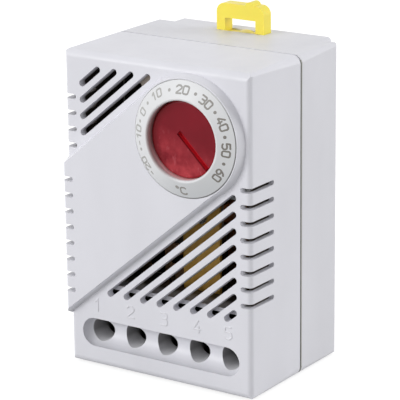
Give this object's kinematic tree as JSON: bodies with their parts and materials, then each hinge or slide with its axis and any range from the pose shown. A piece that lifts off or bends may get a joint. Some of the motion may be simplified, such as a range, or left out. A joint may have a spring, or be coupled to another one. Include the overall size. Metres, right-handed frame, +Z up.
{
  "type": "enclosure thermostat",
  "caption": "Cabinet thermostat in a vented two-part case with a set-point disc in a numbered ring, screw terminals in a trough and a sliding rail clip.",
  "frame": {"origin": "middle of the bounding box, on the plane that the case's bottom rests on", "axes": "+Z up, -Y out of the front with the dial, +X to the right seen from the front"},
  "size_m": [0.0484, 0.0428, 0.0791],
  "materials": {
    "case_front": "fine satin",
    "case_rear": "fine satin",
    "ring": "satin",
    "knob": "satin",
    "clip": "satin",
    "brass": "turned",
    "steel": "plated",
    "screw_steel": "plated",
    "pin_steel": "ground",
    "spring_steel": "drawn",
    "bimetal": "rolled",
    "ceramic": "glazed",
    "copper_alloy": "rolled",
    "silver": "polished",
    "magnet": "ground",
    "resistor": "coated",
    "tinned_wire": "drawn"
  },
  "bodies": {
    "housing": {"front_cover": "case_front", "back_base": "case_rear", "scale_ring": "ring", "mechanism_bracket": "steel", "bracket_screws": "screw_steel", "lever_pin": "pin_steel", "lever_spring": "spring_steel", "contact_pin": "pin_steel", "common_blade": "copper_alloy", "nc_blade": "copper_alloy", "no_blade": "copper_alloy", "fixed_contacts": "silver", "snap_magnet": "magnet", "heater_blade": "copper_alloy", "spare_blade": "copper_alloy", "feedback_resistor": "resistor", "resistor_leads": "tinned_wire", "terminal_blocks": "brass", "terminal_screws": "screw_steel"},
    "setpoint": {"setpoint_knob": "knob", "cam_spindle": "brass"},
    "adjuster": {"adjusting_lever": "steel", "calibration_screw": "brass", "bimetal_strip": "bimetal", "bimetal_rivets": "pin_steel", "push_stud": "ceramic"},
    "switch_arm": {"contact_arm": "copper_alloy", "moving_contact": "silver"},
    "clip": {"rail_clip": "clip"}
  },
  "joints": [
    {"name": "setpoint_turn", "type": "hinge", "parent": "housing", "child": "setpoint", "pos_m": [0.00885, -0.01784, 0.0568], "axis": [0, -1, 0], "range_deg": [0, 270]},
    {"name": "adjuster_tilt", "type": "hinge", "parent": "housing", "child": "adjuster", "pos_m": [0.0033, -0.00224, 0.0457], "axis": [1, 0, 0], "range_deg": [0, 2.1]},
    {"name": "contact_throw", "type": "hinge", "parent": "housing", "child": "switch_arm", "pos_m": [0.002, -0.00123, 0.035], "axis": [1, 0, 0], "range_deg": [0, 1.45]},
    {"name": "clip_slide", "type": "slide", "parent": "housing", "child": "clip", "axis": [0, 0, 1], "range_m": [0, 0.003], "stiffness_N_per_m": 4000, "springref_m": -0.0005}
  ],
  "couplings": [
    {"joint": "adjuster_tilt", "follows": "setpoint_turn", "ratio": 0.0076}
  ]
}
